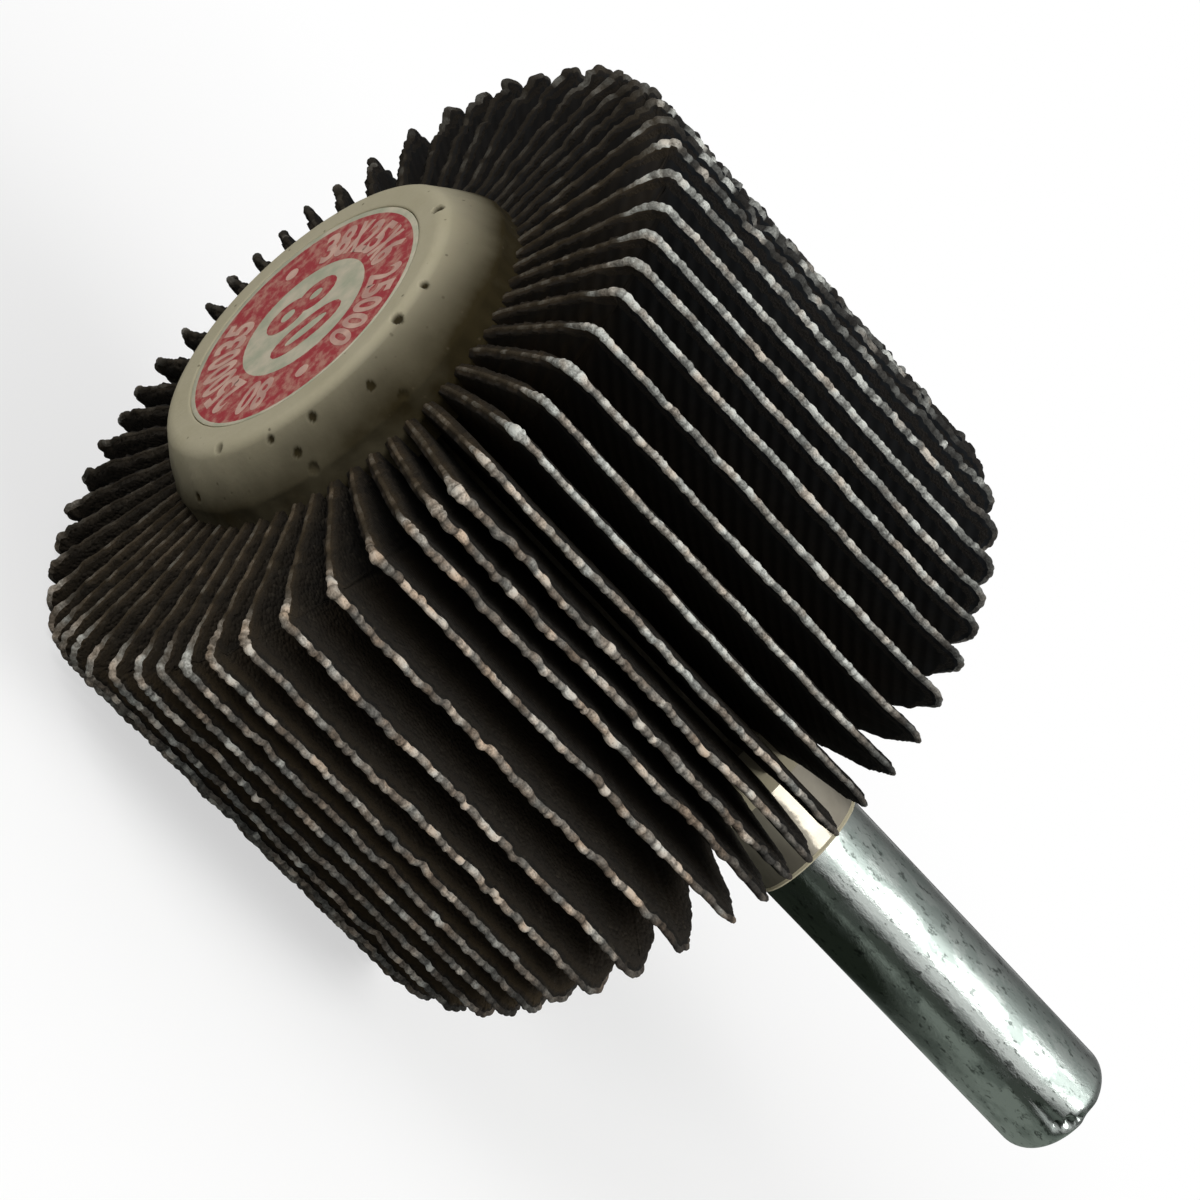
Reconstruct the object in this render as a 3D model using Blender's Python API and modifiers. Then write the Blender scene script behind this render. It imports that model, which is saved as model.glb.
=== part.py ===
"""Spindle-mounted flap wheel: a plated steel pin in a cast resin hub that grips strips of abrasive cloth.

Lengths are in metres. The wheel lies on its side on Z = 0, as it comes to rest on a bench, on the tips of
two neighbouring strips. Its axis runs along +Y from the label to the free end of the pin, and the origin is
under the middle of the part. Each piece is drawn round its own Z, with the label's face at Z = 0 and the
free end of the pin at the top, and hangs from an empty that lays it down.
"""
import math

import bmesh
import bpy
from mathutils import Matrix

MM = 0.001

# The cloth strips
FLAP_COUNT = 57
WHEEL_RADIUS = 19.4 * MM
FLAP_WIDTH = 25.9 * MM
FLAP_THICKNESS = 0.75 * MM
ROOT_SPACING = 0.13 * MM        # room between two roots where they stand closest
EAR_HEIGHT = 1.0 * MM           # the part of a root that the hub holds back
NOTCH_DEPTH = 2.0 * MM          # cut into each end of a root, above the ear
FRONT_CORNER = 1.0 * MM
REAR_CORNER = 1.6 * MM
CORNER_STEPS = 3
FREE_ROWS = 3                   # stretches that a strip bends in between the hub and its tip
BEND_POWER = 1.25               # 1 is a straight lean, 2 a cantilever's curve

# The tips wander from their even places by the sum of these waves: count round the wheel,
# size in degrees and phase in degrees, with angles from the top towards +X
MEAN_LEAN = 0.7
LEAN_WAVES = ((1, 1.28, 80), (2, 2.11, 36), (4, 1.74, 155), (7, 0.6, 36), (8, 1.23, 136), (10, 0.5, 39),
              (13, 0.37, 203))

# The cast hub
BOSS_HEIGHT = 3.3 * MM          # from the strips' front edges to the flat face
BOSS_TAPER = 1.3 * MM           # how much narrower the boss is at its face than at its foot
BOSS_FOOT = 0.8 * MM            # straight foot of the boss, in front of the strips
FACE_ROUND = 0.9 * MM
RIM_WALL = 0.9 * MM             # lip that reaches over the ears
REAR_FLANGE = 1.2 * MM
REAR_ROUND = 0.6 * MM
HUB_SIDES = 64

# The printed label
LABEL_THICKNESS = 0.25 * MM
LABEL_MARGIN = 0.7 * MM         # bare resin between the label's seat and the rounded edge

# The pin
SHANK_RADIUS = 3.175 * MM
SHANK_COVER = 4.6 * MM          # resin between the pin's inner end and the label's seat
SHANK_REACH = 30.5 * MM         # free length behind the hub
SHANK_END_ROUND = 1.3 * MM
SHANK_INNER_CHAMFER = 0.4 * MM
GRIP_GROOVES = 3
GRIP_GROOVE_WIDTH = 1.6 * MM
GRIP_GROOVE_DEPTH = 0.35 * MM
SHANK_SIDES = 40

CLEARANCE = 0.3 * MM            # between pieces that are bonded to each other
ARC_STEPS = 4
SHARP_ANGLE = math.radians(35)
SAME_PLACE = 0.01 * MM          # points nearer than this are one

# Places that follow from the sizes above
PITCH = 2 * math.pi / FLAP_COUNT
ROOT_RADIUS = (FLAP_THICKNESS + ROOT_SPACING) / PITCH
EAR_TOP = ROOT_RADIUS + EAR_HEIGHT
RIM_INNER = EAR_TOP + CLEARANCE
RIM_OUTER = RIM_INNER + RIM_WALL
NOTCH_TOP = RIM_OUTER + CLEARANCE
CORE_RADIUS = ROOT_RADIUS - CLEARANCE
FLAP_FRONT = BOSS_HEIGHT
FLAP_REAR = FLAP_FRONT + FLAP_WIDTH
HUB_REAR = FLAP_REAR + REAR_FLANGE
FACE_RADIUS = RIM_OUTER - BOSS_TAPER
SEAT_RADIUS = FACE_RADIUS - FACE_ROUND - LABEL_MARGIN
SEAT_DEPTH = LABEL_THICKNESS + CLEARANCE
LABEL_RADIUS = SEAT_RADIUS - CLEARANCE
BORE_FLOOR = SEAT_DEPTH + SHANK_COVER
BORE_RADIUS = SHANK_RADIUS + CLEARANCE
SHANK_START = BORE_FLOOR + CLEARANCE
SHANK_END = HUB_REAR + SHANK_REACH


def clear_scene():
    for scene_object in list(bpy.data.objects):
        bpy.data.objects.remove(scene_object, do_unlink=True)


def make_material(name, colour, roughness, metallic=0.0):
    material = bpy.data.materials.new(name)
    material.use_nodes = True
    shader = material.node_tree.nodes["Principled BSDF"]
    shader.inputs["Base Color"].default_value = (*colour, 1.0)
    shader.inputs["Roughness"].default_value = roughness
    shader.inputs["Metallic"].default_value = metallic
    return material


def add_piece(name, mesh, material, parent):
    piece = bpy.data.objects.new(name, mesh)
    mesh.materials.append(material)
    parent.users_collection[0].objects.link(piece)
    piece.parent = parent
    return piece


def arc(centre_x, centre_z, radius, start, end):
    """Points along an arc in a profile, with angles in degrees from +X towards +Z."""
    points = []
    for step in range(ARC_STEPS + 1):
        angle = math.radians(start + (end - start) * step / ARC_STEPS)
        points.append((centre_x + radius * math.cos(angle), centre_z + radius * math.sin(angle)))
    return points


def turned_piece(name, profile, sides, material, parent):
    """A solid turned round Z from (radius, height) points that run down its outer side."""
    mesh = bpy.data.meshes.new(name)
    shape = bmesh.new()
    points = [shape.verts.new((radius, 0.0, height)) for radius, height in profile]
    for first, second in zip(points, points[1:]):
        shape.edges.new((first, second))
    shape.to_mesh(mesh)
    shape.free()
    piece = add_piece(name, mesh, material, parent)
    screw = piece.modifiers.new("turned", "SCREW")
    screw.axis = "Z"
    screw.angle = 2 * math.pi
    screw.steps = sides
    screw.render_steps = sides
    screw.use_merge_vertices = True
    screw.merge_threshold = SAME_PLACE
    shade_round(piece)
    return piece


def shade_round(piece):
    """Keep a turned piece's finished mesh, smooth round its sides and sharp at its edges."""
    bpy.context.view_layer.update()
    graph = bpy.context.evaluated_depsgraph_get()
    finished = bpy.data.meshes.new_from_object(piece.evaluated_get(graph))
    piece.modifiers.clear()
    piece.data = finished
    finished.shade_smooth()
    finished.set_sharp_from_angle(angle=SHARP_ANGLE)


def make_hub(material, parent):
    profile = [(0.0, BORE_FLOOR), (BORE_RADIUS, BORE_FLOOR), (BORE_RADIUS, HUB_REAR)]
    profile += arc(RIM_OUTER - REAR_ROUND, HUB_REAR - REAR_ROUND, REAR_ROUND, 90, 0)
    profile += lipped_groove()
    profile += boss_side()
    profile += [(SEAT_RADIUS, 0.0), (SEAT_RADIUS, SEAT_DEPTH), (0.0, SEAT_DEPTH)]
    return turned_piece("hub", profile, HUB_SIDES, material, parent)


def lipped_groove():
    """The waist that the roots stand in, between two flanges whose lips reach over the ears."""
    rear_lip = FLAP_REAR - NOTCH_DEPTH + CLEARANCE
    front_lip = FLAP_FRONT + NOTCH_DEPTH - CLEARANCE
    rear_wall = FLAP_REAR + CLEARANCE
    front_wall = FLAP_FRONT - CLEARANCE
    return [(RIM_OUTER, rear_lip), (RIM_INNER, rear_lip), (RIM_INNER, rear_wall), (CORE_RADIUS, rear_wall),
            (CORE_RADIUS, front_wall), (RIM_INNER, front_wall), (RIM_INNER, front_lip), (RIM_OUTER, front_lip)]


def boss_side():
    """The boss from its foot to its flat face: a slight cone with a rounded edge."""
    foot = (RIM_OUTER, BOSS_HEIGHT - BOSS_FOOT)
    return [foot] + arc(FACE_RADIUS - FACE_ROUND, FACE_ROUND, FACE_ROUND, 0, -90)


def make_label(material, parent):
    profile = [(0.0, LABEL_THICKNESS), (LABEL_RADIUS, LABEL_THICKNESS), (LABEL_RADIUS, 0.0), (0.0, 0.0)]
    return turned_piece("label", profile, HUB_SIDES, material, parent)


def make_shank(material, parent):
    """A straight pin with a rounded free end and turned grooves where the resin grips it."""
    profile = [(0.0, SHANK_END)]
    profile += arc(SHANK_RADIUS - SHANK_END_ROUND, SHANK_END - SHANK_END_ROUND, SHANK_END_ROUND, 90, 0)
    groove_pitch = (HUB_REAR - SHANK_START) / (GRIP_GROOVES + 1)
    for groove in range(GRIP_GROOVES):
        middle = HUB_REAR - groove_pitch * (groove + 1)
        top = middle + GRIP_GROOVE_WIDTH / 2
        bottom = middle - GRIP_GROOVE_WIDTH / 2
        floor = SHANK_RADIUS - GRIP_GROOVE_DEPTH
        profile += [(SHANK_RADIUS, top), (floor, top - GRIP_GROOVE_DEPTH), (floor, bottom + GRIP_GROOVE_DEPTH),
                    (SHANK_RADIUS, bottom)]
    profile += [(SHANK_RADIUS, SHANK_START + SHANK_INNER_CHAMFER),
                (SHANK_RADIUS - SHANK_INNER_CHAMFER, SHANK_START), (0.0, SHANK_START)]
    return turned_piece("shank", profile, SHANK_SIDES, material, parent)


def lean_at(place):
    """How far the tip of the strip at this angle stands from its even place, in radians."""
    degrees = MEAN_LEAN
    for count, size, phase in LEAN_WAVES:
        degrees += size * math.cos(count * place - math.radians(phase))
    return math.radians(degrees)


def flap_outline():
    """A flat strip in X (out from the axis) and Z, notched at its root and with its tip's corners cut."""
    rows = [ROOT_RADIUS, EAR_TOP]
    rows += [NOTCH_TOP + (WHEEL_RADIUS - NOTCH_TOP) * row / FREE_ROWS for row in range(FREE_ROWS + 1)]
    columns = [FLAP_FRONT, FLAP_FRONT + NOTCH_DEPTH, FLAP_REAR - NOTCH_DEPTH, FLAP_REAR]
    shape = bmesh.new()
    bmesh.ops.create_grid(shape, x_segments=len(rows) - 1, y_segments=len(columns) - 1, size=1.0)
    for point in shape.verts:
        row = round((point.co.x + 1) / 2 * (len(rows) - 1))
        column = round((point.co.y + 1) / 2 * (len(columns) - 1))
        point.co = (rows[row], 0.0, columns[column])
    notches = [face for face in shape.faces if in_notch(face.calc_center_median())]
    bmesh.ops.delete(shape, geom=notches, context="FACES")
    for height, size in ((FLAP_FRONT, FRONT_CORNER), (FLAP_REAR, REAR_CORNER)):
        corner = [point for point in shape.verts
                  if math.isclose(point.co.x, WHEEL_RADIUS, abs_tol=SAME_PLACE)
                  and math.isclose(point.co.z, height, abs_tol=SAME_PLACE)]
        bmesh.ops.bevel(shape, geom=corner, offset=size, offset_type="OFFSET", segments=CORNER_STEPS,
                        profile=0.5, affect="VERTICES")
    return shape


def in_notch(middle):
    beside_neck = not FLAP_FRONT + NOTCH_DEPTH < middle.z < FLAP_REAR - NOTCH_DEPTH
    return EAR_TOP < middle.x < NOTCH_TOP and beside_neck


def make_flap(number, material, parent):
    """One strip: straight where the hub holds it, then leaning sideways towards its tip."""
    place = math.pi + PITCH * (number - 0.5)
    lean = lean_at(place)
    shape = flap_outline()
    for point in shape.verts:
        radius = point.co.x
        share = max(0.0, (radius - NOTCH_TOP) / (WHEEL_RADIUS - NOTCH_TOP))
        swing = lean * share ** BEND_POWER * WHEEL_RADIUS / radius
        point.co.x = radius * math.cos(swing)
        point.co.y = radius * math.sin(swing)
    name = f"flap_{number:02d}"
    mesh = bpy.data.meshes.new(name)
    shape.to_mesh(mesh)
    shape.free()
    flap = add_piece(name, mesh, material, parent)
    flap.rotation_euler.z = place - math.pi / 2
    cloth = flap.modifiers.new("cloth", "SOLIDIFY")
    cloth.thickness = FLAP_THICKNESS
    cloth.offset = 0.0
    cloth.use_even_offset = True
    return flap


def lowest_point(pieces):
    bpy.context.view_layer.update()
    graph = bpy.context.evaluated_depsgraph_get()
    heights = []
    for piece in pieces:
        finished = piece.evaluated_get(graph)
        heights += [(piece.matrix_world @ point.co).z for point in finished.data.vertices]
    return min(heights)


def build():
    clear_scene()
    wheel = bpy.data.collections.new("flap_wheel")
    bpy.context.scene.collection.children.link(wheel)
    axis = bpy.data.objects.new("wheel_axis", None)
    wheel.objects.link(axis)
    axis.matrix_world = Matrix.Translation((0.0, -SHANK_END / 2, 0.0)) @ Matrix.Rotation(-math.pi / 2, 4, "X")

    resin = make_material("cast_resin", (0.36, 0.35, 0.28), 0.5)
    steel = make_material("plated_steel", (0.62, 0.63, 0.61), 0.25, 1.0)
    paper = make_material("printed_paper", (0.55, 0.13, 0.14), 0.6)
    cloth = make_material("abrasive_cloth", (0.035, 0.033, 0.03), 0.85)

    make_hub(resin, axis)
    make_shank(steel, axis)
    make_label(paper, axis)
    flaps = [make_flap(number, cloth, axis) for number in range(1, FLAP_COUNT + 1)]
    axis.location.z = -lowest_point(flaps)


build()
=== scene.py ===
"""Looks of the flap wheel: frayed abrasive cloth, a pitted resin boss, a printed label and a plated pin.

Places on the wheel are given in millimetres along the axis from the label's face, in millimetres out from the
axis, and as an angle round it from the top towards +X.
"""
import math
import random
from functools import partial
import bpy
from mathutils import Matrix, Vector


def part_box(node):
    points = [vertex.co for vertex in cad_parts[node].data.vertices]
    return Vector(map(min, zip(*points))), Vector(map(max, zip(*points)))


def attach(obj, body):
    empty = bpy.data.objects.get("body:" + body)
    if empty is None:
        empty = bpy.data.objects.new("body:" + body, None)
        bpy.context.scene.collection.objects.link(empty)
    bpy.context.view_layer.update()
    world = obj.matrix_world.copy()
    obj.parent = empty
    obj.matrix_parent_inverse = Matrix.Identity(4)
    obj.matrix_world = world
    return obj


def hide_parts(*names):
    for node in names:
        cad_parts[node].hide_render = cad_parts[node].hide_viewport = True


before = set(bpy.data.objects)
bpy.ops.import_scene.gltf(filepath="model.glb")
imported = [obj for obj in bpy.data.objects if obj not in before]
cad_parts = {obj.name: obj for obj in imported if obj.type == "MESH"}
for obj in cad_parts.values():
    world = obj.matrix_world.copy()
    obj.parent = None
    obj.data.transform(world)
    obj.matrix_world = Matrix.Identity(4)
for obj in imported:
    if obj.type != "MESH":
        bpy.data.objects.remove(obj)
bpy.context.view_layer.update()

from types import SimpleNamespace

import bpy
import numpy as np
from mathutils import Matrix, Vector

MM = 0.001

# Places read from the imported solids
HUB_LOW, HUB_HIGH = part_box("hub")
PIN_LOW, PIN_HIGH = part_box("shank")
LABEL_LOW, LABEL_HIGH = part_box("label")
STRIP_LOW, STRIP_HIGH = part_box("flap_01")
STRIPS = sorted(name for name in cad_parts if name.startswith("flap_"))
FACE = HUB_LOW.y
AXIS_HEIGHT = (PIN_LOW.z + PIN_HIGH.z) / 2
PIN_RADIUS = (PIN_HIGH.z - PIN_LOW.z) / 2 / MM
PIN_START = (PIN_LOW.y - FACE) / MM
PIN_END = (PIN_HIGH.y - FACE) / MM
HUB_RADIUS = (HUB_HIGH.z - HUB_LOW.z) / 2 / MM
HUB_REAR = (HUB_HIGH.y - FACE) / MM
LABEL_RADIUS = (LABEL_HIGH.z - LABEL_LOW.z) / 2 / MM
LABEL_THICKNESS = (LABEL_HIGH.y - LABEL_LOW.y) / MM
STRIP_FRONT = (STRIP_LOW.y - FACE) / MM
STRIP_REAR = (STRIP_HIGH.y - FACE) / MM

# The strips of abrasive cloth
TIP_RADIUS = 19.4
STRIP_ROOT = 8.4                # where a strip ends inside the hub
ROOT_INSET = 0.8                # how far its root stays from its front and rear edges
BEND_START = 10.48
BEND_POWER = 1.25
HALF_CLOTH = 0.36               # half the cloth's thickness, with its coat of grit
TWILL = 0.5                     # from one rib of the cloth to the next
GRIT = 0.19                     # an 80 grit grain

# The hub
CORE_RADIUS = 8.8
LIP_DEPTH = 1.7
FILM = 0.05                     # resin that crept up the pin
FILM_END = 39.2
FILM_SLANT = 0.9                # its end is this much nearer the hub on one side, and further opposite
FILM_SIDE = math.radians(62)    # the side where it is nearer


def in_place(along, out, angle):
    """World points from places on the wheel."""
    along, out, angle = np.broadcast_arrays(along, out, angle)
    side, height = out * np.sin(angle) * MM, AXIS_HEIGHT + out * np.cos(angle) * MM
    return np.stack([side, FACE + along * MM, height], axis=-1)


def ramp(place, start, end):
    """0 up to one place, 1 from another one on, and even in between."""
    return np.clip((place - start) / (end - start), 0, 1)


def paint(hex_colour):
    """An sRGB hex colour as the linear values that a shader takes."""
    parts = [int(hex_colour[place:place + 2], 16) / 255 for place in (1, 3, 5)]
    return [part / 12.92 if part <= 0.04045 else ((part + 0.055) / 1.055) ** 2.4 for part in parts] + [1.0]


def add_node(tree, kind, inputs=None, **settings):
    """One shader node: its settings, and each input as a value, or as the node or socket that feeds it."""
    made = tree.nodes.new(kind)
    for setting, value in settings.items():
        setattr(made, setting, value)
    for place, value in (inputs or {}).items():
        if isinstance(value, bpy.types.Node):
            value = value.outputs[0]
        if isinstance(value, bpy.types.NodeSocket):
            tree.links.new(value, made.inputs[place])
        else:
            made.inputs[place].default_value = value
    return made


def new_finish(name):
    """An empty material, and the function that adds a node to it."""
    finish = bpy.data.materials.new(name)
    finish.use_nodes = True
    finish.node_tree.nodes.clear()
    return finish, partial(add_node, finish.node_tree)


# Finishes

DUST = "#453a2b"                # grinding dust, a warm brown


def bonded_grit():
    """Aluminium oxide grains coated on cloth in dark phenolic resin: near black, dull, brown where dusty and
    where fill light is painted on.
    """
    finish, add = new_finish("aluminium_oxide_grit_in_phenolic")
    place = add("ShaderNodeTexCoord").outputs["Object"]
    dust = add("ShaderNodeAttribute", attribute_name="dust").outputs["Fac"]
    # one cell for each grain, a tenth wider than the grain
    grains = add("ShaderNodeTexVoronoi", {"Vector": place, "Scale": 1 / (GRIT * 1.1 * MM)})
    shade = add("ShaderNodeSeparateColor", {"Color": grains.outputs["Color"]})
    paler = add("ShaderNodeMapRange", {"Value": shade.outputs["Red"], "From Min": 0.86, "To Max": 0.6})
    patches = add("ShaderNodeTexNoise", {"Vector": place, "Scale": 1 / (1.1 * MM), "Detail": 4.0})
    dark = add("ShaderNodeMix", {0: patches.outputs["Fac"], 6: paint("#0f1113"), 7: paint("#23211d")},
               data_type="RGBA")
    dusty = add("ShaderNodeMix", {0: dust, 6: dark.outputs[2], 7: paint(DUST)}, data_type="RGBA")
    colour = add("ShaderNodeMix", {0: paler, 6: dusty.outputs[2], 7: paint("#3a352d")}, data_type="RGBA")
    relief = add("ShaderNodeBump", {"Height": grains.outputs["Distance"], "Strength": 0.9,
                                    "Distance": 0.12 * MM}, invert=True)
    shader = add("ShaderNodeBsdfPrincipled", {"Base Color": colour.outputs[2], "Roughness": 0.85,
                                              "Specular IOR Level": 0.1, "Normal": relief})
    add("ShaderNodeOutputMaterial", {"Surface": shader})
    return finish


def cut_cotton():
    """The cut edge of cotton drill: pale where worn bare and where light is painted on, dark with resin and
    in painted shade, browner where dusty.
    """
    finish, add = new_finish("cut_cotton_drill")
    place = add("ShaderNodeTexCoord").outputs["Object"]
    # the bare attribute holds the cloth's wear together with painted light on the lit side and painted shade
    # between yarns
    bare = add("ShaderNodeAttribute", attribute_name="bare").outputs["Fac"]
    warm = add("ShaderNodeAttribute", attribute_name="warm").outputs["Fac"]
    dust = add("ShaderNodeAttribute", attribute_name="dust").outputs["Fac"]
    fibres = add("ShaderNodeTexNoise", {"Vector": place, "Scale": 1 / (0.13 * MM), "Detail": 3.0})
    tufts = add("ShaderNodeTexNoise", {"Vector": place, "Scale": 1 / (1.3 * MM), "Detail": 2.0})
    tint = add("ShaderNodeMapRange", {"Value": tufts.outputs["Fac"], "From Min": 0.35, "From Max": 0.65,
                                      "To Min": -0.4, "To Max": 0.4})
    browner = add("ShaderNodeMath", {0: warm, 1: tint}, operation="ADD", use_clamp=True)
    pale = add("ShaderNodeMix", {0: browner, 6: paint("#cccec7"), 7: paint("#cab49d")}, data_type="RGBA")
    grime = add("ShaderNodeMapRange", {"Value": fibres.outputs["Fac"], "From Min": 0.3, "From Max": 0.7,
                                       "To Min": 0.45, "To Max": 1.3}, clamp=False)
    shown = add("ShaderNodeMath", {0: bare, 1: grime}, operation="MULTIPLY", use_clamp=True)
    soaked = add("ShaderNodeMix", {0: dust, 6: paint("#181614"), 7: paint("#473b27")}, data_type="RGBA")
    colour = add("ShaderNodeMix", {0: shown, 6: soaked.outputs[2], 7: pale.outputs[2]}, data_type="RGBA")
    relief = add("ShaderNodeBump", {"Height": fibres.outputs["Fac"], "Strength": 0.9,
                                    "Distance": 0.09 * MM})
    shader = add("ShaderNodeBsdfPrincipled", {"Base Color": colour.outputs[2], "Roughness": 0.92,
                                              "Specular IOR Level": 0.2, "Normal": relief})
    add("ShaderNodeOutputMaterial", {"Surface": shader})
    return finish


def coated_back():
    """The cloth's back, sealed with dark phenolic resin: black, with the twill's ribs just showing."""
    finish, add = new_finish("phenolic_sealed_cotton")
    place = add("ShaderNodeTexCoord").outputs["Object"]
    dust = add("ShaderNodeAttribute", attribute_name="dust").outputs["Fac"]
    parts = add("ShaderNodeSeparateXYZ", {"Vector": place})
    height = add("ShaderNodeMath", {0: parts.outputs["Z"], 1: AXIS_HEIGHT}, operation="SUBTRACT")
    spoke = add("ShaderNodeCombineXYZ", {"X": parts.outputs["X"], "Z": height})
    out = add("ShaderNodeVectorMath", {0: spoke}, operation="LENGTH")
    flat = add("ShaderNodeCombineXYZ", {"X": parts.outputs["Y"], "Y": out.outputs["Value"]})
    # a Wave texture's bands repeat every 0.314 of its scaled length
    ribs = add("ShaderNodeTexWave", {"Vector": flat, "Scale": 0.314 / (TWILL * MM), "Distortion": 0.6,
                                     "Detail": 1.0}, bands_direction="DIAGONAL")
    patches = add("ShaderNodeTexNoise", {"Vector": place, "Scale": 1 / (1.8 * MM), "Detail": 4.0})
    dark = add("ShaderNodeMix", {0: patches.outputs["Fac"], 6: paint("#0f1215"), 7: paint("#202224")},
               data_type="RGBA")
    colour = add("ShaderNodeMix", {0: dust, 6: dark.outputs[2], 7: paint(DUST)}, data_type="RGBA")
    relief = add("ShaderNodeBump", {"Height": ribs.outputs["Fac"], "Strength": 0.6, "Distance": 0.06 * MM})
    shader = add("ShaderNodeBsdfPrincipled", {"Base Color": colour.outputs[2], "Roughness": 0.9,
                                              "Specular IOR Level": 0.06, "Normal": relief})
    add("ShaderNodeOutputMaterial", {"Surface": shader})
    return finish


def cast_resin():
    """Filled epoxy, left as cast: pale grey beige and satin, with air pits; darker and browner towards its
    foot and in the pits, from dirt and painted shade.
    """
    finish, add = new_finish("cast_epoxy_resin")
    place = add("ShaderNodeTexCoord").outputs["Object"]
    # the grime attribute holds dirt and painted shade: towards the boss's foot, on one side and in the pits
    grime = add("ShaderNodeAttribute", attribute_name="grime").outputs["Fac"]
    clouds = add("ShaderNodeTexNoise", {"Vector": place, "Scale": 1 / (3.0 * MM), "Detail": 4.0})
    pale = add("ShaderNodeMix", {0: clouds.outputs["Fac"], 6: paint("#b0a88b"), 7: paint("#c3bba2")},
               data_type="RGBA")
    streaks = add("ShaderNodeMapRange", {"Value": clouds.outputs["Fac"], "From Min": 0.3, "From Max": 0.7,
                                         "To Min": 0.93, "To Max": 1.07}, clamp=False)
    dirt_and_shade = add("ShaderNodeMath", {0: grime, 1: streaks}, operation="MULTIPLY", use_clamp=True)
    # the darkened colour, for dirt and painted shade alike
    stained = add("ShaderNodeMix", {0: dirt_and_shade, 6: pale.outputs[2], 7: paint("#2f2816")}, data_type="RGBA")
    bubbles = add("ShaderNodeTexVoronoi", {"Vector": place, "Scale": 1 / (0.9 * MM)})
    speck = add("ShaderNodeMapRange", {"Value": bubbles.outputs["Distance"], "From Min": 0.05,
                                       "From Max": 0.11, "To Min": 0.6, "To Max": 0.0})
    colour = add("ShaderNodeMix", {0: speck, 6: stained.outputs[2], 7: paint("#4a4232")}, data_type="RGBA")
    fine = add("ShaderNodeTexNoise", {"Vector": place, "Scale": 1 / (0.35 * MM), "Detail": 3.0})
    dents = add("ShaderNodeMath", {0: fine.outputs["Fac"], 1: speck}, operation="SUBTRACT")
    relief = add("ShaderNodeBump", {"Height": dents, "Strength": 0.5, "Distance": 0.05 * MM})
    sheen = add("ShaderNodeMapRange", {"Value": fine.outputs["Fac"], "To Min": 0.5, "To Max": 0.7})
    rough = add("ShaderNodeMath", {0: dirt_and_shade, 1: sheen}, operation="MAXIMUM")
    shader = add("ShaderNodeBsdfPrincipled", {"Base Color": colour.outputs[2], "Roughness": rough,
                                              "Specular IOR Level": 0.14, "Normal": relief})
    add("ShaderNodeOutputMaterial", {"Surface": shader})
    return finish


def resin_film():
    """A thin film of casting resin that crept up the pin: the steel shines through, duller and browner."""
    finish, add = new_finish("thin_resin_on_steel")
    place = add("ShaderNodeTexCoord").outputs["Object"]
    runs = add("ShaderNodeTexNoise", {"Vector": place, "Scale": 1 / (1.5 * MM), "Detail": 3.0})
    colour = add("ShaderNodeMix", {0: runs.outputs["Fac"], 6: paint("#857e70"), 7: paint("#aaa495")},
                 data_type="RGBA")
    relief = add("ShaderNodeBump", {"Height": runs.outputs["Fac"], "Strength": 0.25, "Distance": 0.2 * MM})
    shader = add("ShaderNodeBsdfPrincipled", {"Base Color": colour.outputs[2], "Metallic": 0.6,
                                              "Roughness": 0.17, "Normal": relief})
    add("ShaderNodeOutputMaterial", {"Surface": shader})
    return finish


def plated_steel():
    """Turned steel, bright zinc plated: a cool grey mirror with dark specks, painted shade in its nicks, dull
    where scuffed.
    """
    finish, add = new_finish("bright_zinc_plated_steel")
    place = add("ShaderNodeTexCoord").outputs["Object"]
    # its marks are drawn out along the pin
    drawn = add("ShaderNodeMapping", {"Vector": place, "Scale": (1.0, 0.4, 1.0)})
    scuffs = add("ShaderNodeTexNoise", {"Vector": drawn, "Scale": 1 / (1.1 * MM), "Detail": 5.0,
                                        "Roughness": 0.62})
    patches = add("ShaderNodeMapRange", {"Value": scuffs.outputs["Fac"], "From Min": 0.46, "From Max": 0.6,
                                         "To Max": 0.55})
    scuffed_side = add("ShaderNodeAttribute", attribute_name="scuffed").outputs["Fac"]
    dull = add("ShaderNodeMath", {0: scuffed_side, 1: patches}, operation="ADD", use_clamp=True)
    specks = add("ShaderNodeTexNoise", {"Vector": drawn, "Scale": 1 / (0.3 * MM), "Detail": 3.0,
                                        "Roughness": 0.7})
    dark = add("ShaderNodeMapRange", {"Value": specks.outputs["Fac"], "From Min": 0.57, "From Max": 0.66,
                                      "To Max": 0.75})
    nick_dent_and_shade = add("ShaderNodeAttribute", attribute_name="nick_dent_and_shade").outputs["Fac"]
    # the nicks are darkened as painted shade, the specks as marks in the plating
    marks = add("ShaderNodeMath", {0: dark, 1: nick_dent_and_shade}, operation="MAXIMUM")
    scuffed = add("ShaderNodeMix", {0: dull, 6: paint("#ccd2cd"), 7: paint("#8b948f")}, data_type="RGBA")
    colour = add("ShaderNodeMix", {0: marks, 6: scuffed.outputs[2], 7: paint("#3f4541")}, data_type="RGBA")
    gloss = add("ShaderNodeMapRange", {"Value": dull, "To Min": 0.08, "To Max": 0.42})
    relief = add("ShaderNodeBump", {"Height": specks.outputs["Fac"], "Strength": 0.25,
                                    "Distance": 0.06 * MM})
    shader = add("ShaderNodeBsdfPrincipled", {"Base Color": colour.outputs[2], "Metallic": 1.0,
                                              "Roughness": gloss, "Normal": relief})
    add("ShaderNodeOutputMaterial", {"Surface": shader})
    return finish


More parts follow.
